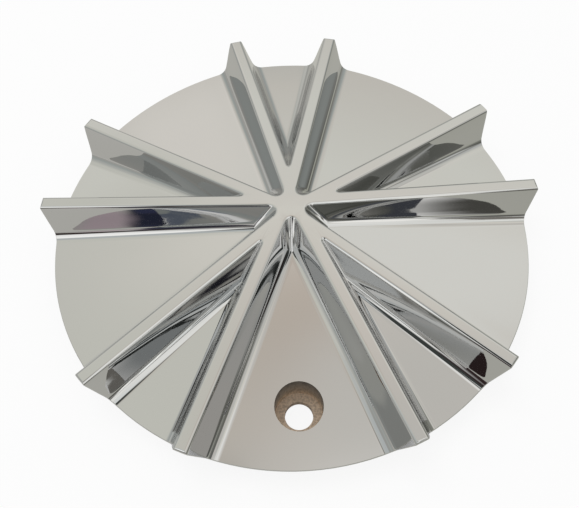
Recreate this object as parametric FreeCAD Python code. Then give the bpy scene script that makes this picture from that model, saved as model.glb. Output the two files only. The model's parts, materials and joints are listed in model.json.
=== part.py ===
import FreeCAD, Part
import math
import os

# Chrome-plated wheel centre cap, one moulding: a shallow face with ten raised fins in five pairs, a
# star-shaped hub where they meet, one counterbored screw hole, and a hollow back with a screw boss
# and a locating ring. Millimetres. The origin is on the hub axis in the seat plane, which is the
# underside of the ring and boss. +Z points out of the wheel, and the screw hole lies toward -Y.

# Driving dimensions
RIM_RADIUS = 82.5          # edge of the face
FACE_HEIGHT = 10.3         # top of the rim edge above the seat plane, in the middle of each valley
FACE_RISE = 9.5            # rise of the face from there to the hub axis
WALL = 2.4                 # wall of the face, straight down
RIM_CHAMFER = 1.2          # sloped lower edge of the rim

PAIRS = 5                  # fin pairs round the hub
PAIR_HALF_ANGLE = 13.7     # degrees between a fin and its pair's middle line
PAIR_MEET = 6.2            # where the two fin lines of a pair cross, out from the hub axis
CREST_WIDTH = 4.1          # flat top of a fin, between its theoretical sharp edges
CREST_HUB_RISE = 17.5      # fin tops above the rim edge, at the hub axis
CREST_TIP_RISE = 12.7      # fin tops above the rim edge, at the tips
TIP_OVERHANG = 3.3         # fin tips past the rim at crest height, because the fin ends lean out
FIN_DRAFT = 20.0           # degrees that the fin sides open toward the face
FOOT_RADIUS = 4.0          # hollow rounding where a fin side runs into the face
CREASE_RADIUS = 2.5        # rounding of the corner at the hub between two pairs
PAIR_CREASE_RADIUS = 0.5   # rounding of the tighter corner between the two fins of a pair
EDGE_RADIUS = 1.2          # rounded long edges of the fin tops
TIP_ROUND = 0.9            # rounded top edge of the fin ends
END_BREAK = 0.3            # small flats that break the edges of the rim and the fin ends
FIN_WALL = 1.8             # wall of the fin sides, square to the side
CREST_WALL = 2.6           # wall under the fin tops, straight down

SCREW_DISTANCE = 63.7      # screw hole from the hub axis
SCREW_HOLE_RADIUS = 4.5    # clearance for an M8 screw
COUNTERBORE_RADIUS = 7.5   # room for its cap head
SCREW_LEDGE = 2.5          # floor of the counterbore above the seat plane
BOSS_RADIUS = 10.3         # boss round the counterbore

RING_INSET = 6.8           # rim past the outside of the locating ring behind the face
RING_WALL = 2.5            # wall of the ring
RIB_WALL = 1.5             # thinner wall where it goes on as a rib across the hollow fins
RING_LEAD_IN = 0.6         # broken lower edge of the ring, which leads it into the wheel

# Shared values worked out from them
FULL_TURN = 360.0
FIRST_PAIR_ANGLE = 90.0    # direction of pair 0, opposite the screw hole
SCREW_ANGLE = -90.0        # direction of the screw hole
PAIR_STEP = FULL_TURN / PAIRS
FACE_SLOPE = FACE_RISE / RIM_RADIUS
TIP_RADIUS = RIM_RADIUS + TIP_OVERHANG
# A tip, seen from the hub axis, is a little nearer to its pair's middle line than its fin's direction
SPREAD = math.radians(PAIR_HALF_ANGLE)
TIP_SPREAD = SPREAD - math.asin(PAIR_MEET * math.sin(SPREAD) / TIP_RADIUS)
CREST_FALL = CREST_HUB_RISE - CREST_TIP_RISE
CREST_SLOPE = CREST_FALL / (TIP_RADIUS * math.cos(TIP_SPREAD))
END_LEAN = TIP_OVERHANG / CREST_TIP_RISE
RING_RADIUS = RIM_RADIUS - RING_INSET
RING_INSIDE = RING_RADIUS - RING_WALL
RIB_RADIUS = RING_INSIDE + RIB_WALL
DRAFT = math.radians(FIN_DRAFT)
FACE_TOP = FACE_HEIGHT + FACE_RISE
FACE_BOTTOM = FACE_HEIGHT - WALL
CREST_TOP = FACE_HEIGHT + CREST_HUB_RISE
TIP_TOP = FACE_HEIGHT + CREST_TIP_RISE
CLEAR = 2 * WALL                         # how far a cutting tool stands past what it cuts
REACH = 2 * TIP_RADIUS                   # how far out a cutting tool reaches, well past the tips
CLOSE = 0.01                             # two heights nearer than this are the same height
AXIS_START = FreeCAD.Vector(0, 0, 0)
AXIS = FreeCAD.Vector(0, 0, 1)


def turned(profile):
    """Solid of revolution about the hub axis from (radius, height) corners."""
    corners = [FreeCAD.Vector(0, radius, height) for radius, height in profile]
    face = Part.Face(Part.makePolygon(corners + corners[:1]))
    return face.revolve(AXIS_START, AXIS, FULL_TURN)


def direction(degrees):
    """Level unit vector; 0 degrees points along +X and 90 along +Y."""
    turn = math.radians(degrees)
    return FreeCAD.Vector(math.cos(turn), math.sin(turn), 0)


def flat_solid(loops):
    """Solid closed by flat faces, one for each loop of corners, seen anticlockwise from outside."""
    return Part.Solid(Part.Shell([Part.Face(Part.makePolygon(loop + loop[:1])) for loop in loops]))


def between(low, high):
    """Solid between two loops of as many corners, both anticlockwise from above."""
    around = [[low[i - 1], low[i], high[i], high[i - 1]] for i in range(len(low))]
    return flat_solid([low[::-1], high] + around)


def pair_angle(pair):
    """Direction of a pair's middle line."""
    return FIRST_PAIR_ANGLE + PAIR_STEP * pair


def falling(point, top, slope, angle):
    """Height at a point of a flat that falls away from the hub along one direction."""
    return top - slope * point.dot(direction(angle))


def side_line(pair, hand, side, height, inset):
    """Level line where one side of a fin passes a height, as two points.

    hand is +1 or -1 for the two fins of the pair, side +1 or -1 for the fin's own two sides, and
    inset moves the side into the fin, for the hollow behind it.
    """
    along = direction(pair_angle(pair) + hand * PAIR_HALF_ANGLE)
    across = FreeCAD.Vector(-along.y, along.x, 0) * side
    start = direction(pair_angle(pair)) * PAIR_MEET
    line = []
    for distance in (0, REACH):
        point = start + along * distance
        below = falling(point, CREST_TOP, CREST_SLOPE, pair_angle(pair)) - height
        half = CREST_WIDTH / 2 + below * math.tan(DRAFT) - inset / math.cos(DRAFT)
        line.append(point + across * half)
    return line


def crossing(line, other):
    """Point where two level lines cross."""
    (a, b), (c, d) = line, other
    first, second = b - a, d - c
    share = (c - a).cross(second).z / first.cross(second).z
    return a + first * share


def wedge(left, right, inset):
    """Space between two neighbouring fin sides, from their corner at the hub outwards."""
    rings = []
    for height in (-CLEAR, CREST_TOP + CLEAR):
        one = side_line(*left, height, inset)
        two = side_line(*right, height, inset)
        corners = [crossing(one, two), one[1], two[1]]
        rings.append([p + AXIS * height for p in corners])
    return between(*rings)


def valleys():
    """Fin sides, middle direction and hub corner radius of each valley: in a pair, then beside it."""
    found = []
    for pair in range(PAIRS):
        middle = pair_angle(pair)
        found.append(((pair, -1, 1), (pair, 1, -1), middle, PAIR_CREASE_RADIUS))
        found.append(((pair, 1, 1), (pair + 1, -1, -1), middle + PAIR_STEP / 2, CREASE_RADIUS))
    return found


def above_floor(middle, drop):
    """Block that stands on a valley's flat floor, or on the flat that lies a drop under it."""
    sides = ((-REACH, -REACH), (REACH, -REACH), (REACH, REACH), (-REACH, REACH))
    corners = [FreeCAD.Vector(x, y, 0) for x, y in sides]
    low = [p + AXIS * falling(p, FACE_TOP - drop, FACE_SLOPE, middle) for p in corners]
    return between(low, [p + AXIS * (CREST_TOP + REACH) for p in corners])


def rounded(solid, radius, wanted):
    """The solid with a radius on the edges that the test picks."""
    return solid.makeFillet(radius, [edge for edge in solid.Edges if wanted(edge)])


def is_upright(edge):
    """An edge of a wedge that stands at the hub, where its two fin sides meet."""
    return all(math.hypot(v.X, v.Y) < RIM_RADIUS for v in edge.Vertexes)


def open_valley(left, right, middle, crease, inset, drop, foot):
    """One valley with hollow feet along its floor and a rounded corner at the hub."""
    space = wedge(left, right, inset)
    floored = space.common(above_floor(middle, drop))

    def is_foot(edge):
        """An edge where a fin side meets the floor."""
        floor = [falling(v.Point, FACE_TOP - drop, FACE_SLOPE, middle) for v in edge.Vertexes]
        lying = all(abs(v.Z - height) < CLOSE for v, height in zip(edge.Vertexes, floor))
        return lying and min(math.hypot(v.X, v.Y) for v in edge.Vertexes) < RIM_RADIUS

    return rounded(floored, foot, is_foot).common(rounded(space, crease, is_upright))


def under_crests(drop):
    """Block under the fin tops: each pair's tops share one flat that falls away from the hub."""
    spread = REACH / math.cos(math.radians(PAIR_STEP / 2))
    corners = [direction(pair_angle(pair) - PAIR_STEP / 2) * spread for pair in range(PAIRS)]
    summit = AXIS * (CREST_TOP - drop)
    low = [p - AXIS * CLEAR for p in corners]
    high = [p + summit - AXIS * CREST_SLOPE * REACH for p in corners]
    around = [[low[i - 1], low[i], high[i], high[i - 1]] for i in range(PAIRS)]
    tops = [[high[i - 1], high[i], summit] for i in range(PAIRS)]
    return flat_solid([low[::-1]] + around + tops)


def end_radius(height):
    """Outside radius of the rim and of the fin ends, which lean out as they rise."""
    return RIM_RADIUS + END_LEAN * (height - FACE_HEIGHT)


def along(edge):
    """Start, middle and end of an edge."""
    first, last = edge.FirstParameter, edge.LastParameter
    return [edge.valueAt(at) for at in (first, (first + last) / 2, last)]


def crest_height(point):
    """Height of the fin tops over a point."""
    return min(falling(point, CREST_TOP, CREST_SLOPE, pair_angle(pair)) for pair in range(PAIRS))


def is_end_outline(edge):
    """An edge on the leaning outside of the rim and fin ends, above the rim's lower edge."""
    lying = all(abs(math.hypot(p.x, p.y) - end_radius(p.z)) < CLOSE for p in along(edge))
    return lying and min(v.Z for v in edge.Vertexes) > FACE_HEIGHT - CLOSE


def is_crest_side(edge):
    """A long edge of the fin tops, but not a faint ridge that runs from the hub between two pairs."""
    on_top = all(abs(p.z - crest_height(p)) < CLOSE for p in along(edge))
    off_hub = all(math.hypot(v.X, v.Y) > CLOSE for v in edge.Vertexes)
    return on_top and off_hub and not is_end_outline(edge)


def beyond_tips():
    """Ring outside the fin tips, which rounds the top edge of their ends."""
    corner = FreeCAD.Vector(0, TIP_RADIUS, TIP_TOP)
    inward = FreeCAD.Vector(0, -TIP_RADIUS, CREST_FALL).normalize()
    down = FreeCAD.Vector(0, -TIP_OVERHANG, -CREST_TIP_RISE).normalize()
    share = TIP_ROUND / inward.cross(down).Length
    reach = share * (1 + inward.dot(down))
    centre = corner + (inward + down) * share
    nearest = centre - (inward + down).normalize() * TIP_ROUND
    low, high = corner + down * reach, corner + inward * reach
    above = FreeCAD.Vector(0, high.y, CREST_TOP + CLEAR)
    far = FreeCAD.Vector(0, TIP_RADIUS + CLEAR, above.z)
    below = FreeCAD.Vector(0, far.y, low.z)
    corners = Part.makePolygon([high, above, far, below, low])
    wire = Part.Wire([Part.Arc(low, nearest, high).toShape(), corners])
    return Part.Face(wire).revolve(AXIS_START, AXIS, FULL_TURN)


def outside():
    """Face, hub and fins with every edge that shows, still solid behind."""
    high = CREST_TOP + CLEAR
    wall_foot = FACE_BOTTOM + RIM_CHAMFER
    foot_radius = end_radius(wall_foot)
    blank = turned([(0, FACE_BOTTOM), (foot_radius - RIM_CHAMFER, FACE_BOTTOM),
                    (foot_radius, wall_foot), (end_radius(high), high), (0, high)])
    spaces = [open_valley(*valley, 0, 0, FOOT_RADIUS) for valley in valleys()]
    body = rounded(blank.common(under_crests(0)).cut(spaces), EDGE_RADIUS, is_crest_side)
    broken = body.makeChamfer(END_BREAK, [edge for edge in body.Edges if is_end_outline(edge)])
    return broken.cut(beyond_tips())


def inside():
    """Hollow behind the face and in the fins, without the ring, which crosses the fins as a rib."""
    high = CREST_TOP + CLEAR
    blank = turned([(0, -CLEAR), (RING_INSIDE, -CLEAR), (RING_INSIDE, FACE_BOTTOM),
                    (end_radius(FACE_BOTTOM) - WALL, FACE_BOTTOM), (end_radius(high) - WALL, high),
                    (0, high)])
    spaces = [open_valley(*valley, FIN_WALL, WALL, FOOT_RADIUS + WALL) for valley in valleys()]
    rib = turned([(RING_INSIDE, -CLEAR), (RING_RADIUS, -CLEAR), (RING_RADIUS, FACE_BOTTOM),
                  (RIB_RADIUS, FACE_BOTTOM), (RIB_RADIUS, high), (RING_INSIDE, high)])
    return blank.common(under_crests(CREST_WALL)).cut(spaces + [rib])


def locating_ring():
    """Ring behind the face, with a broken lower edge that leads it into the wheel."""
    return turned([(RING_INSIDE, 0), (RING_RADIUS - RING_LEAD_IN, 0), (RING_RADIUS, RING_LEAD_IN),
                   (RING_RADIUS, FACE_BOTTOM), (RING_INSIDE, FACE_BOTTOM)])


def on_screw_axis(radius, bottom, top):
    """Upright cylinder on the screw's axis."""
    start = direction(SCREW_ANGLE) * SCREW_DISTANCE + AXIS * bottom
    return Part.makeCylinder(radius, top - bottom, start, AXIS)


def screw_boss():
    """Boss behind the face round the screw, up into the middle of the face's wall."""
    return on_screw_axis(BOSS_RADIUS, 0, CREST_TOP).cut(above_floor(SCREW_ANGLE, WALL / 2))


def screw_space():
    """Counterbore for the screw's head and the clearance hole through its ledge."""
    head = on_screw_axis(COUNTERBORE_RADIUS, SCREW_LEDGE, CREST_TOP)
    return head.fuse(on_screw_axis(SCREW_HOLE_RADIUS, -CLEAR, CREST_TOP))


def center_cap():
    """The whole cap."""
    shell = outside().fuse(locating_ring()).cut(inside())
    return shell.fuse(screw_boss()).cut(screw_space()).removeSplitter()


cap = center_cap()
os.makedirs("parts", exist_ok=True)
cap.exportStep("parts/center_cap.step")
print("center_cap: valid", cap.isValid(), "solids", len(cap.Solids), "cubic mm", round(cap.Volume))
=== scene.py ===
"""Looks for a chrome-plated wheel centre cap: mirror plating, a dull screw hole, a plain studio."""

import json
import logging
import math
from dataclasses import dataclass, field
from enum import IntEnum

import bmesh
import bpy
from mathutils import Matrix, Vector

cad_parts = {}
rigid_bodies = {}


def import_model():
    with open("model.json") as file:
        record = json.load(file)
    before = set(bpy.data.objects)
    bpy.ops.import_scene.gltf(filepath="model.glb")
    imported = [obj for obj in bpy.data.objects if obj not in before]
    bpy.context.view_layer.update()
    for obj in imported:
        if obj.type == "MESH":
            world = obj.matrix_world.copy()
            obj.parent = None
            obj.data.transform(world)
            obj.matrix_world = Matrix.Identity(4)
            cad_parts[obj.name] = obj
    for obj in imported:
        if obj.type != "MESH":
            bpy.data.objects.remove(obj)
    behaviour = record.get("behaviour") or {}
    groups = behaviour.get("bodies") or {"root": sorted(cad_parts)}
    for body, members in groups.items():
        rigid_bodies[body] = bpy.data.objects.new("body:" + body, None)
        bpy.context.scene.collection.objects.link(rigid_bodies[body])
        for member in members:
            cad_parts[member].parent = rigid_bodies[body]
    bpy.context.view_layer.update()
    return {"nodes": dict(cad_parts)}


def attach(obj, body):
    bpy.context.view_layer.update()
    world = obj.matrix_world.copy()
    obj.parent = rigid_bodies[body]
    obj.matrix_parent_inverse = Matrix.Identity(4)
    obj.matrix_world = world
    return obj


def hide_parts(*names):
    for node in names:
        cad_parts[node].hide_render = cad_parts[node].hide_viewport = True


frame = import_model()

MM = 0.001
PHOTO_WIDTH = 579
SENSOR_WIDTH = 36.0
WHITE = "#ffffff"
AHEAD = 0.01  # least cosine at which a direction counts as in front of a patch
MIX_FIRST, MIX_SECOND, MIXED = 6, 7, 2  # colour sockets of a Mix node: two inputs, one output

Tree = bpy.types.NodeTree
Socket = bpy.types.NodeSocket
Stops = tuple[tuple[float, str], ...]

log = logging.getLogger("center_cap")


def linear(code: str) -> tuple[float, float, float, float]:
    """Turn an sRGB hex colour into linear light.

    Args:
        code: Colour as six hex digits with a leading number sign.

    Returns:
        Linear red, green, blue and an alpha of 1.
    """
    parts = [int(code[i:i + 2], 16) / 255 for i in (1, 3, 5)]
    light = [p / 12.92 if p <= 0.04045 else ((p + 0.055) / 1.055) ** 2.4 for p in parts]
    return (light[0], light[1], light[2], 1.0)


def toward(azimuth: float, elevation: float) -> Vector:
    """Find the direction of a place round the cap.

    Args:
        azimuth: Degrees from the camera's side (-Y), positive toward +X.
        elevation: Degrees above the floor.

    Returns:
        The unit vector in the shared frame.
    """
    a, e = math.radians(azimuth), math.radians(elevation)
    return Vector((math.sin(a) * math.cos(e), -math.cos(a) * math.cos(e), math.sin(e)))


def add_node(tree: Tree, kind: str, settings: dict | None = None,
             links: dict | None = None) -> bpy.types.Node:
    """Add one node with its settings and incoming links.

    Args:
        tree: Node tree that gets the node.
        kind: Blender's type name of the node.
        settings: Property names or inputs and the values they take. The name stops gives a colour
            ramp its places from 0 to 1 and their sRGB colours, in order.
        links: Inputs and the output sockets that feed them.

    Returns:
        The new node.
    """
    node = tree.nodes.new(kind)
    for name, value in (settings or {}).items():
        if name == "stops":
            elements = node.color_ramp.elements
            while len(elements) < len(value):
                elements.new(0.5)
            for element, (place, shade) in zip(elements, value):
                element.position = place
                element.color = linear(shade)
        elif isinstance(name, str) and hasattr(node, name):
            setattr(node, name, value)
        else:
            node.inputs[name].default_value = value
    for name, socket in (links or {}).items():
        tree.links.new(socket, node.inputs[name])
    return node


def new_material(name: str) -> tuple[bpy.types.Material, Tree]:
    """Make an empty node material.

    Args:
        name: Name of the material.

    Returns:
        The material and its node tree.
    """
    material = bpy.data.materials.new(name)
    material.use_nodes = True
    material.node_tree.nodes.clear()
    return material, material.node_tree


def add_object(name: str, made: bmesh.types.BMesh) -> bpy.types.Object:
    """Turn a finished bmesh into an object in the scene, at the origin.

    Args:
        name: Name of the object and its mesh.
        made: The mesh, which is freed.

    Returns:
        The new object.
    """
    mesh = bpy.data.meshes.new(name)
    made.to_mesh(mesh)
    made.free()
    thing = bpy.data.objects.new(name, mesh)
    bpy.context.collection.objects.link(thing)
    return thing


def only_reflected(thing: bpy.types.Object) -> None:
    """Let only mirror reflections see a stage object.

    Args:
        thing: The stage object.
    """
    thing.visible_camera = False
    thing.visible_diffuse = False
    thing.visible_shadow = False
    thing.visible_transmission = False


@dataclass(frozen=True)
class ChromePlate:
    """Bright decorative chrome, electroplated over moulded ABS.

    The eye gets a sharp, slightly grey mirror with a breath of haze, over the slow waves of the
    moulding. The grain of a real haze is finer than a pixel, so it is drawn as coarse as it shows.
    """

    colour: str = "#cbcbcb"
    roughness: float = 0.02
    haze: float = 0.03
    haze_grain_mm: float = 1.2
    haze_detail: float = 3.0
    haze_range: tuple[float, float] = (0.35, 0.65)
    wave_mm: float = 14.0
    wave_detail: float = 1.0
    wave_height_mm: float = 0.02

    def build(self) -> bpy.types.Material:
        """Make the plating, with its haze in the roughness and its waves in the bump.

        Returns:
            The new material.
        """
        material, tree = new_material("bright_chrome_plated_abs")
        place = add_node(tree, "ShaderNodeTexCoord").outputs["Object"]
        grain = add_node(tree, "ShaderNodeTexNoise",
                         {"Scale": 1 / (self.haze_grain_mm * MM), "Detail": self.haze_detail},
                         {"Vector": place})
        low, high = self.haze_range
        rough = add_node(tree, "ShaderNodeMapRange",
                         {"From Min": low, "From Max": high, "To Min": self.roughness,
                          "To Max": self.roughness + self.haze}, {"Value": grain.outputs["Fac"]})
        waves = add_node(tree, "ShaderNodeTexNoise",
                         {"Scale": 1 / (self.wave_mm * MM), "Detail": self.wave_detail},
                         {"Vector": place})
        bump = add_node(tree, "ShaderNodeBump",
                        {"Strength": 1.0, "Distance": self.wave_height_mm * MM},
                        {"Height": waves.outputs["Fac"]})
        shader = add_node(tree, "ShaderNodeBsdfPrincipled",
                          {"Base Color": linear(self.colour), "Metallic": 1.0},
                          {"Roughness": rough.outputs["Result"],
                           "Normal": bump.outputs["Normal"]})
        add_node(tree, "ShaderNodeOutputMaterial", links={"Surface": shader.outputs["BSDF"]})
        return material


@dataclass(frozen=True)
class DullBore:
    """Moulded ABS in the screw hole, where the plating is thin.

    The eye gets a warm grey-brown that scatters light, mottled and drawn out along the hole. It is
    pale on the ledge and darker toward the mouth. Just above the ledge a paler band is a painted
    highlight: it stands in for the bright ring where the wall meets the ledge and lifts the shade
    in that corner. Real specks are finer than a pixel, so they are drawn as coarse as they show.
    Stops are heights over the table in millimetres.
    """

    # Painted highlight: the pale stops at 2.6 and 3.9 mm stand in for the bright ring where the
    # wall meets the ledge and lift the shade in that corner.
    stops: Stops = (
        (2.3, "#c0ac97"), (2.6, "#e6d2bc"), (3.9, "#e0cdb7"), (5.2, "#bbaa96"), (9.0, "#93887b"),
        (12.0, "#6c655b"))
    top_mm: float = 14.0
    dark: str = "#463d33"
    metallic: float = 0.35
    roughness: float = 0.55
    speck_mm: float = 0.7
    speck_detail: float = 4.0
    speck_range: tuple[float, float] = (0.35, 0.6)
    speck_clear: float = 0.6
    stretch: float = 0.35

    def build(self) -> bpy.types.Material:
        """Make the dull plastic: its tone by height, with a painted highlight above the ledge and
        dark specks over it.

        Returns:
            The new material.
        """
        material, tree = new_material("thinly_plated_moulded_abs")
        place = add_node(tree, "ShaderNodeTexCoord").outputs["Object"]
        height = add_node(tree, "ShaderNodeSeparateXYZ", links={0: place}).outputs["Z"]
        share = add_node(tree, "ShaderNodeMapRange", {"From Max": self.top_mm * MM},
                         {"Value": height})
        # Colour by height, with the painted highlight band just above the ledge.
        tone_with_painted_highlight = add_node(tree, "ShaderNodeValToRGB",
                        {"stops": [(level / self.top_mm, shade) for level, shade in self.stops]},
                        {"Fac": share.outputs["Result"]})
        drawn = add_node(tree, "ShaderNodeVectorMath",
                         {"operation": "MULTIPLY", 1: (1.0, 1.0, self.stretch)}, {0: place})
        specks = add_node(tree, "ShaderNodeTexNoise",
                          {"Scale": 1 / (self.speck_mm * MM), "Detail": self.speck_detail},
                          {"Vector": drawn.outputs[0]})
        low, high = self.speck_range
        clear = add_node(tree, "ShaderNodeMapRange",
                         {"From Min": low, "From Max": high, "To Min": self.speck_clear},
                         {"Value": specks.outputs["Fac"]})
        colour = add_node(tree, "ShaderNodeMix",
                          {"data_type": "RGBA", MIX_FIRST: linear(self.dark)},
                          {"Factor": clear.outputs["Result"], MIX_SECOND: tone_with_painted_highlight.outputs["Color"]})
        shader = add_node(tree, "ShaderNodeBsdfPrincipled",
                          {"Metallic": self.metallic, "Roughness": self.roughness},
                          {"Base Color": colour.outputs[MIXED]})
        add_node(tree, "ShaderNodeOutputMaterial", links={"Surface": shader.outputs["BSDF"]})
        return material


@dataclass(frozen=True)
class FinSides:
    """Soft double curve of the fin sides: polishing before the plating turns both edges upward.

    Lengths are in millimetres and angles in degrees. The tops are heights over the table on the
    cap's axis, and a slope is the fall for each millimetre outward. Margins tell the flat sides
    from the other faces.
    """

    pairs: int = 5
    first_pair: float = 90.0
    draft: float = 20.0
    face_top: float = 19.8
    face_slope: float = 0.11515
    crest_top: float = 27.8
    crest_slope: float = 0.05737
    strips: int = 8
    edge_turn: float = 7.0
    foot_turn: float = 2.0
    rise_margin: float = 0.02
    least_area: float = 2.0
    cut_margin: float = 0.001
    moved_rise: tuple[float, float] = (0.05, 0.97)

    def level(self, middle: float, pair: float, share: float) -> tuple[Vector, Vector]:
        """Plane that lies a share of the way up from a valley's floor to its fin tops.

        Args:
            middle: Direction of the valley's middle in degrees.
            pair: Direction of the pair's middle in degrees.
            share: 0 for the floor, 1 for the fin tops.

        Returns:
            A point on the plane in metres and its normal.
        """
        m, p = math.radians(middle), math.radians(pair)
        floor = Vector((self.face_slope * math.cos(m), self.face_slope * math.sin(m), 1.0))
        crest = Vector((self.crest_slope * math.cos(p), self.crest_slope * math.sin(p), 1.0))
        height = self.face_top + (self.crest_top - self.face_top) * share
        return Vector((0.0, 0.0, height * MM)), floor.lerp(crest, share)

    def valley_of(self, face: bmesh.types.BMFace) -> tuple[float, float]:
        """Find where a fin side belongs.

        Args:
            face: A flat face of a fin side.

        Returns:
            Direction of its valley's middle and of its pair's middle, in degrees.
        """
        spot, step = face.calc_center_median(), 360.0 / self.pairs
        angle = math.degrees(math.atan2(spot.y, spot.x))
        pair = self.first_pair + step * round((angle - self.first_pair) / step)
        hand = 1.0 if angle > pair else -1.0
        outward = (face.normal.y * spot.x - face.normal.x * spot.y) * hand > 0
        return (pair + hand * step / 2 if outward else pair), pair

    def share_up(self, spot: Vector) -> tuple[float, float]:
        """Height of a place between the face and the fin tops.

        Args:
            spot: The place in metres.

        Returns:
            The share of the way up and the full height there in millimetres.
        """
        out = spot.xy.length / MM
        low = self.face_top - self.face_slope * out
        high = self.crest_top - self.crest_slope * out
        return (spot.z / MM - low) / (high - low), high - low

    def bulge(self, spot: Vector) -> float:
        """How far polishing has moved the surface outward at a place.

        Args:
            spot: The place in metres.

        Returns:
            The distance in metres, negative where the surface lies deeper.
        """
        share, height = self.share_up(spot)
        if not 0.0 < share < 1.0:
            return 0.0
        across = 2 * share - 1
        edge, foot = math.radians(self.edge_turn), math.radians(self.foot_turn)
        curve = edge / 3 * (across ** 3 - across) - foot / 2 * (across ** 2 - 1)
        return -height / math.cos(math.radians(self.draft)) / 2 * curve * MM

    def cut_strips(self, made: bmesh.types.BMesh) -> None:
        """Cut the flat sides into long strips, so that they can take the curve.

        Args:
            made: The joined mesh of the cap.
        """
        rise, area = math.sin(math.radians(self.draft)), self.least_area * MM * MM
        groups: dict[tuple[float, float, int], list] = {}
        for face in made.faces:
            if abs(face.normal.z - rise) < self.rise_margin and face.calc_area() > area:
                turn = round(math.degrees(math.atan2(face.normal.y, face.normal.x)))
                groups.setdefault((*self.valley_of(face), turn), []).append(face)
        for (middle, pair, _), faces in groups.items():
            part = list(dict.fromkeys(
                item for face in faces for item in (face, *face.edges, *face.verts)))
            for step in range(1, self.strips):
                place, normal = self.level(middle, pair, step / self.strips)
                cut = bmesh.ops.bisect_plane(made, geom=part, plane_co=place, plane_no=normal,
                                             dist=self.cut_margin * MM)
                part = cut["geom"]

    def curve_strips(self, made: bmesh.types.BMesh) -> None:
        """Move the strips to the double curve, level with the table.

        Args:
            made: The joined mesh of the cap.
        """
        low, high = self.moved_rise
        outward: dict[bmesh.types.BMVert, Vector] = {}
        for face in made.faces:
            if low < face.normal.z < high:
                push = Vector((face.normal.x, face.normal.y, 0.0)) * face.calc_area()
                for vert in face.verts:
                    outward[vert] = outward.get(vert, Vector()) + push
        for vert, push in outward.items():
            if push.length > 0:
                vert.co += push.normalized() * self.bulge(vert.co)


class Finish(IntEnum):
    """Finishes of the moulding, in the order of its material slots."""

    PLATE = 0
    BORE = 1


@dataclass
class CenterCap:
    """The moulded cap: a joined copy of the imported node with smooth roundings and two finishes.

    Lengths are in millimetres.
    """

    node: str = "center_cap"
    slot: str = "chrome_plate"
    screw_y: float = -63.7
    bore_radius: float = 7.5
    bore_margin: float = 0.05
    merge_gap: float = 0.002
    crease_degrees: float = 32.0
    flat_weight: int = 100
    plate: ChromePlate = field(default_factory=ChromePlate)
    bore: DullBore = field(default_factory=DullBore)
    sides: FinSides = field(default_factory=FinSides)

    def mesh(self) -> bmesh.types.BMesh:
        """Join the node's loose triangles, give the sides their curve and mark the real edges.

        Returns:
            The finished mesh.
        """
        made = bmesh.new()
        made.from_mesh(frame["nodes"][self.node].data)
        bmesh.ops.remove_doubles(made, verts=made.verts, dist=self.merge_gap * MM)
        made.normal_update()
        self.sides.cut_strips(made)
        self.sides.curve_strips(made)
        made.normal_update()
        limit = math.radians(self.crease_degrees)
        for edge in made.edges:
            edge.smooth = edge.is_manifold and edge.calc_face_angle(0.0) < limit
        reach = (self.bore_radius + self.bore_margin) * MM
        axis = Vector((0.0, self.screw_y * MM, 0.0))
        for face in made.faces:
            face.smooth = True
            near = all((vert.co - axis).xy.length < reach for vert in face.verts)
            face.material_index = Finish.BORE if near else Finish.PLATE
        return made

    def build(self) -> bpy.types.Object:
        """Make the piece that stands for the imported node.

        Returns:
            The piece.
        """
        cap = add_object("cap_body", self.mesh())
        finishes = {Finish.PLATE: self.plate, Finish.BORE: self.bore}
        for place in Finish:
            cap.data.materials.append(finishes[place].build())
        even = cap.modifiers.new("even_normals", "WEIGHTED_NORMAL")
        even.keep_sharp = True
        even.weight = self.flat_weight
        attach(cap, "root")
        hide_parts(self.node)
        return cap


@dataclass(frozen=True)
class Patch:
    """A soft-edged light or dark place on the room's wall, such as a window or a doorway.

    Azimuth runs in degrees from the camera's side toward +X, elevation up from the floor. Width
    and height are degrees seen from the cap, roll turns the patch, and soft is the share of its
    size that fades.
    """

    azimuth: float
    elevation: float
    width: float
    height: float
    soft: float
    roll: float
    shade: str
    strength: float = 1.0

    def light(self) -> list[float]:
        """Linear colour that the patch shines with, which strength may take above white."""
        return [part * self.strength for part in linear(self.shade)[:3]] + [1.0]

    def mask(self, tree: Tree, way: Socket) -> Socket:
        """Work out where the patch covers the wall.

        Args:
            tree: Node tree of the wall.
            way: Direction from the cap to the wall.

        Returns:
            The socket that is 1 inside the patch and 0 outside.
        """
        out = toward(self.azimuth, self.elevation)
        level = Vector((0.0, 0.0, 1.0)).cross(out).normalized()
        steep = out.cross(level)
        cos, sin = math.cos(math.radians(self.roll)), math.sin(math.radians(self.roll))
        sides = ((cos * level + sin * steep, self.width), (cos * steep - sin * level, self.height))
        ahead = add_node(tree, "ShaderNodeVectorMath", {"operation": "DOT_PRODUCT", 1: out},
                         {0: way}).outputs["Value"]
        inside = add_node(tree, "ShaderNodeMath", {"operation": "GREATER_THAN", 1: AHEAD},
                          {0: ahead}).outputs[0]
        for axis, angle in sides:
            reach = axis / math.tan(math.radians(angle / 2))
            along = add_node(tree, "ShaderNodeVectorMath",
                             {"operation": "DOT_PRODUCT", 1: reach}, {0: way})
            flat = add_node(tree, "ShaderNodeMath", {"operation": "DIVIDE"},
                            {0: along.outputs["Value"], 1: ahead})
            offset = add_node(tree, "ShaderNodeMath", {"operation": "ABSOLUTE"},
                              {0: flat.outputs[0]})
            fade = add_node(tree, "ShaderNodeMapRange",
                            {"interpolation_type": "SMOOTHSTEP", "From Min": 1 + self.soft,
                             "From Max": 1 - self.soft}, {"Value": offset.outputs[0]})
            inside = add_node(tree, "ShaderNodeMath", {"operation": "MULTIPLY"},
                              {0: inside, 1: fade.outputs["Result"]}).outputs[0]
        return inside


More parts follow.
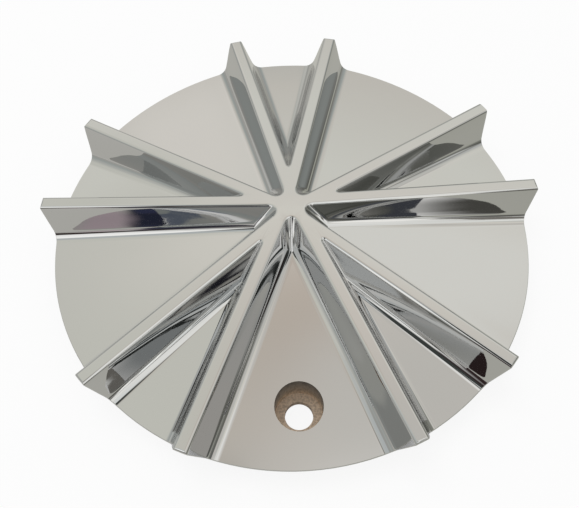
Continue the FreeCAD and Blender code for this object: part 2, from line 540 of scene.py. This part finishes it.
@dataclass(frozen=True)
class RoomWall:
    """Painted walls and ceiling with their windows and doorways, as the plating mirrors them.

    The eye gets a room in the chrome that is pale above and grey round the sides, with light and
    dark places. Levels are sines of the elevation. Later patches lie over earlier ones.
    """

    levels: Stops = (
        (0.00, "#b3b5af"), (0.12, "#c1bfb9"), (0.26, "#b4b8b4"), (0.40, "#bcc2be"),
        (0.52, "#e9e5dc"), (0.64, "#f5f5ec"), (0.76, "#f8f4eb"), (0.87, "#fcf9ef"),
        (0.95, "#efe7dd"), (1.00, "#c8ae96"))
    patches: tuple[Patch, ...] = (
        Patch(85.1, 25.2, 31.2, 27.3, 0.28, 18.4, "#fffbef", 1.44),
        Patch(-5.5, 63.1, 111.6, 15.7, 0.16, 5.4, "#b6b7b2"),
        Patch(-24.8, 63.6, 18.7, 42.7, 0.32, -6.8, "#464a48"),
        Patch(24.6, 12.0, 11.7, 16.2, 0.25, 26.6, "#fffefb", 1.26),
        Patch(12.9, 38.6, 14.6, 45.7, 0.87, 7.7, "#000000"),
        Patch(-9.6, 14.2, 33.1, 44.9, 0.05, 13.8, "#3b3a43"),
        Patch(12.3, 59.5, 20.7, 16.7, 0.11, -5.1, "#fcfffd", 1.02),
        Patch(-33.3, 18.3, 6.8, 64.2, 0.18, -9.9, "#3b2f2f"),
        Patch(-45.1, 26.8, 7.3, 36.9, 0.30, -3.0, "#fffef9", 1.29),
        Patch(41.5, 49.2, 20.6, 81.1, 0.37, -2.6, "#fffffb", 1.15),
        Patch(20.1, 46.9, 7.6, 4.8, 0.30, -14.7, "#fffff8", 1.41),
        Patch(-57.8, 25.7, 13.7, 3.8, 0.05, -1.5, "#828c9d"),
        Patch(92.6, 13.0, 83.5, 37.5, 0.90, -29.0, "#4d5049"),
        Patch(-101.2, 32.1, 41.4, 34.4, 0.90, -19.6, "#bfc3c0"),
        Patch(102.7, 18.1, 33.1, 28.1, 0.41, 12.5, "#979890"),
        Patch(-63.1, 61.6, 22.0, 29.8, 0.10, 5.2, "#d1d6d6"),
        Patch(134.8, 54.8, 9.4, 23.8, 0.48, -59.7, "#fffef7"),
        Patch(38.0, 27.6, 5.7, 21.3, 0.11, -37.0, "#8c8983"),
        Patch(-163.2, 36.8, 11.9, 11.8, 0.71, 0.5, "#fdf9f1"),
        Patch(26.3, 23.2, 7.0, 18.5, 0.05, -4.8, "#fffef9", 1.31),
        Patch(-74.6, 35.4, 4.1, 14.1, 0.26, -13.8, "#d1d2cb"),
        Patch(20.4, 37.1, 7.6, 14.8, 0.17, -34.8, "#fcfffd", 1.39),
        Patch(-106.0, 59.0, 29.6, 45.5, 0.59, 12.3, "#e9e9df"),
        Patch(82.2, 44.1, 42.5, 13.5, 0.10, 34.3, "#dfdcd6"),
        Patch(-48.3, 46.6, 13.1, 16.2, 0.30, -55.4, "#fffffc", 1.39),
        Patch(110.5, 74.2, 16.3, 37.7, 0.86, -10.5, "#e3e0d9"),
        Patch(-45.1, 32.0, 21.3, 16.1, 0.58, 34.4, "#fffffd", 1.29),
        Patch(33.3, 8.6, 12.4, 15.7, 0.49, 34.1, "#62615c"),
        Patch(89.9, 27.7, 20.2, 16.7, 0.65, -14.0, "#d8d9d6"),
        Patch(63.0, 23.7, 16.1, 4.1, 0.30, -31.0, "#64676f"),
        Patch(-8.6, 30.0, 10.2, 7.2, 0.27, -34.8, "#f3f3ee"),
        Patch(58.7, 47.4, 10.4, 17.4, 0.26, 4.8, "#fcffff", 1.47),
        Patch(0.0, 23.9, 6.9, 17.5, 0.05, -59.8, "#fffffe", 1.33),
        Patch(-144.8, 47.3, 18.9, 10.9, 0.83, -8.0, "#e9e9df"),
        Patch(-116.8, 3.5, 12.6, 8.8, 0.05, 38.1, "#d0d4d0"),
        Patch(-4.0, 48.8, 10.2, 10.9, 0.44, -29.7, "#e6e6e1"),
        Patch(-164.1, 20.7, 19.4, 13.5, 0.30, -9.9, "#ddddd6"),
        Patch(57.1, 39.9, 11.0, 20.4, 0.21, -4.5, "#fefffa", 1.25),
        Patch(79.1, 46.9, 38.7, 8.4, 0.84, -27.2, "#e2e3dc"),
        Patch(-28.0, 24.0, 1.6, 6.5, 0.59, 0.0, "#12100b"),
        Patch(-24.6, 12.2, 3.6, 4.2, 0.45, 0.0, "#303446"),
        Patch(-28.0, 10.5, 4.0, 7.0, 0.60, 0.0, "#cbbac0"),
        Patch(-23.3, 8.3, 3.2, 3.4, 0.40, 0.0, "#3c405b"),
    )

    def build(self) -> bpy.types.Material:
        """Make the shining wall with its patches.

        Returns:
            The new material.
        """
        material, tree = new_material("painted_room_wall")
        place = add_node(tree, "ShaderNodeTexCoord").outputs["Object"]
        way = add_node(tree, "ShaderNodeVectorMath", {"operation": "NORMALIZE"},
                       {0: place}).outputs[0]
        height = add_node(tree, "ShaderNodeSeparateXYZ", links={0: way}).outputs["Z"]
        colour = add_node(tree, "ShaderNodeValToRGB", {"stops": self.levels},
                          {"Fac": height}).outputs["Color"]
        for patch in self.patches:
            colour = add_node(tree, "ShaderNodeMix",
                              {"data_type": "RGBA", MIX_SECOND: patch.light()},
                              {"Factor": patch.mask(tree, way),
                               MIX_FIRST: colour}).outputs[MIXED]
        light = add_node(tree, "ShaderNodeEmission", {"Strength": 1.0}, {"Color": colour})
        add_node(tree, "ShaderNodeOutputMaterial", links={"Surface": light.outputs["Emission"]})
        return material


@dataclass(frozen=True)
class PaintedTable:
    """Grey painted table top, paler on the left, as the plating mirrors it.

    The eye gets a calm grey in the low parts of the fins. The fade is half the breadth, in metres,
    over which the left turns into the right.
    """

    left: str = "#d9d7d3"
    right: str = "#b3b4a7"
    fade: float = 0.3

    def build(self) -> bpy.types.Material:
        """Make the shining table top.

        Returns:
            The new material.
        """
        material, tree = new_material("grey_painted_table")
        place = add_node(tree, "ShaderNodeTexCoord").outputs["Object"]
        across = add_node(tree, "ShaderNodeSeparateXYZ", links={0: place}).outputs["X"]
        side = add_node(tree, "ShaderNodeMapRange",
                        {"From Min": -self.fade, "From Max": self.fade}, {"Value": across})
        colour = add_node(tree, "ShaderNodeMix",
                          {"data_type": "RGBA", MIX_FIRST: linear(self.left),
                           MIX_SECOND: linear(self.right)}, {"Factor": side.outputs["Result"]})
        light = add_node(tree, "ShaderNodeEmission", {"Strength": 1.0},
                         {"Color": colour.outputs[MIXED]})
        add_node(tree, "ShaderNodeOutputMaterial", links={"Surface": light.outputs["Emission"]})
        return material


@dataclass(frozen=True)
class WhitePaper:
    """Matt white paper under the cap.

    The eye gets a floor that is nearly as white as the background and still keeps the cap's
    shadow, because whitening is the share of plain white that only the camera sees in it.
    """

    colour: str = "#f4f4f4"
    whitening: float = 0.88

    def build(self) -> bpy.types.Material:
        """Make the paper.

        Returns:
            The new material.
        """
        material, tree = new_material("white_paper_floor")
        path = add_node(tree, "ShaderNodeLightPath")
        matt = add_node(tree, "ShaderNodeBsdfDiffuse", {"Color": linear(self.colour)})
        white = add_node(tree, "ShaderNodeEmission", {"Color": linear(WHITE), "Strength": 1.0})
        share = add_node(tree, "ShaderNodeMath", {"operation": "MULTIPLY", 1: self.whitening},
                         {0: path.outputs["Is Camera Ray"]})
        mix = add_node(tree, "ShaderNodeMixShader",
                       links={"Fac": share.outputs[0], 1: matt.outputs[0], 2: white.outputs[0]})
        add_node(tree, "ShaderNodeOutputMaterial", links={"Surface": mix.outputs[0]})
        return material


@dataclass
class Studio:
    """Pale floor, white surroundings and a soft lamp, with a table and a room for the mirrors.

    Lengths are in metres and the lamp's power in watts.
    """

    floor_size: float = 6.0
    table_inner: float = 0.088
    table_outer: float = 2.95
    table_lift: float = 0.001
    table_sides: int = 96
    room_radius: float = 3.0
    room_sides: int = 96
    room_rings: int = 48
    soft_light: float = 0.7
    lamp_size: float = 0.8
    lamp_power: float = 4.0
    lamp_place: tuple[float, float, float] = (-0.3, 0.2, 1.2)
    paper: WhitePaper = field(default_factory=WhitePaper)
    paint: PaintedTable = field(default_factory=PaintedTable)
    wall: RoomWall = field(default_factory=RoomWall)

    def floor(self) -> bpy.types.Object:
        """Lay the white floor, which keeps the cap's shadow.

        Returns:
            The floor.
        """
        made = bmesh.new()
        bmesh.ops.create_grid(made, x_segments=1, y_segments=1, size=self.floor_size / 2)
        floor = add_object("studio_floor", made)
        floor.data.materials.append(self.paper.build())
        return floor

    def table(self) -> bpy.types.Object:
        """Lay the table top round the cap, as a ring that only mirror reflections see.

        Returns:
            The ring.
        """
        made = bmesh.new()
        bmesh.ops.create_circle(made, cap_ends=False, segments=self.table_sides,
                                radius=self.table_outer)
        grown = bmesh.ops.extrude_edge_only(made, edges=made.edges[:])
        inner = [item for item in grown["geom"] if isinstance(item, bmesh.types.BMVert)]
        ratio = self.table_inner / self.table_outer
        bmesh.ops.scale(made, vec=(ratio, ratio, 1), verts=inner)
        bmesh.ops.translate(made, vec=(0, 0, self.table_lift), verts=made.verts)
        table = add_object("table_ring", made)
        table.data.materials.append(self.paint.build())
        only_reflected(table)
        return table

    def room(self) -> bpy.types.Object:
        """Stand the room round the cap, which only mirror reflections see.

        Returns:
            The room's shell.
        """
        made = bmesh.new()
        bmesh.ops.create_uvsphere(made, u_segments=self.room_sides, v_segments=self.room_rings,
                                  radius=self.room_radius)
        for face in made.faces:
            face.smooth = True
        room = add_object("room", made)
        room.data.materials.append(self.wall.build())
        only_reflected(room)
        return room

    def world(self) -> None:
        """Surround the scene with white for the eye and mirrors, and soft light for the rest."""
        world = bpy.data.worlds.new("studio")
        world.use_nodes = True
        tree = world.node_tree
        tree.nodes.clear()
        path = add_node(tree, "ShaderNodeLightPath")
        seen = path.outputs["Is Camera Ray"]
        for kind in ("Is Glossy Ray", "Is Transmission Ray"):
            seen = add_node(tree, "ShaderNodeMath", {"operation": "ADD", "use_clamp": True},
                            {0: seen, 1: path.outputs[kind]}).outputs[0]
        soft = add_node(tree, "ShaderNodeBackground",
                        {"Color": linear(WHITE), "Strength": self.soft_light})
        white = add_node(tree, "ShaderNodeBackground", {"Color": linear(WHITE), "Strength": 1.0})
        mix = add_node(tree, "ShaderNodeMixShader",
                       links={"Fac": seen, 1: soft.outputs[0], 2: white.outputs[0]})
        add_node(tree, "ShaderNodeOutputWorld", links={"Surface": mix.outputs[0]})
        bpy.context.scene.world = world

    def lamp(self) -> bpy.types.Object:
        """Hang one soft lamp over the cap, which mirrors don't see.

        Returns:
            The lamp.
        """
        light = bpy.data.lights.new("soft_box", "AREA")
        light.shape = "DISK"
        light.size = self.lamp_size
        light.energy = self.lamp_power
        lamp = bpy.data.objects.new("soft_box", light)
        lamp.location = self.lamp_place
        lamp.rotation_euler = (-lamp.location).to_track_quat("-Z", "Y").to_euler()
        lamp.visible_glossy = False
        bpy.context.collection.objects.link(lamp)
        return lamp

    def build(self) -> list[bpy.types.Object]:
        """Set up the whole studio.

        Returns:
            The floor, the table, the lamp and the room.
        """
        self.world()
        return [self.floor(), self.table(), self.lamp(), self.room()]


@dataclass(frozen=True)
class PhotoCamera:
    """Camera that was worked out from the photograph's outline, fins and hole.

    Angles are in degrees and the rim in millimetres. The distance and the offsets to the side and
    upward are in rim radii, from the middle of the rim's plane.
    """

    elevation: float = 59.3154
    roll: float = -1.4908
    turn: float = 0.8807
    distance: float = 2.838613
    side: float = -0.0060785
    rise: float = -0.0945029
    focal_px: float = 662.4233
    rim_radius: float = 82.5
    rim_height: float = 10.3
    nearest_m: float = 0.01

    def build(self) -> bpy.types.Object:
        """Place the camera and look through it.

        Returns:
            The camera.
        """
        el, roll = math.radians(self.elevation), math.radians(self.roll)
        back = Vector((0.0, -math.cos(el), math.sin(el)))
        right = Vector((1.0, 0.0, 0.0))
        up = back.cross(right)
        across = math.cos(roll) * right + math.sin(roll) * up
        upward = -math.sin(roll) * right + math.cos(roll) * up
        spot = (self.distance * back + self.side * across + self.rise * upward) * self.rim_radius
        turn = Matrix.Rotation(math.radians(-self.turn), 3, "Z")
        axes = Matrix((turn @ across, turn @ upward, turn @ back)).transposed()
        lens = bpy.data.cameras.new("photo_camera")
        lens.sensor_width = SENSOR_WIDTH
        lens.lens = self.focal_px / PHOTO_WIDTH * SENSOR_WIDTH
        lens.clip_start = self.nearest_m
        camera = bpy.data.objects.new("photo_camera", lens)
        place = (turn @ spot + Vector((0.0, 0.0, self.rim_height))) * MM
        camera.matrix_world = Matrix.Translation(place) @ axes.to_4x4()
        bpy.context.collection.objects.link(camera)
        bpy.context.scene.camera = camera
        return camera


def main() -> None:
    """Build the cap, the studio and the camera in order."""
    logging.basicConfig(level=logging.INFO, format="%(message)s")
    bpy.context.scene.view_settings.view_transform = "Standard"
    cap = CenterCap().build()
    log.info("cap body: %d faces", len(cap.data.polygons))
    for thing in Studio().build():
        log.info("studio: %s", thing.name)
    camera = PhotoCamera().build()
    log.info("camera: %s", camera.name)


if __name__ == "__main__":
    main()
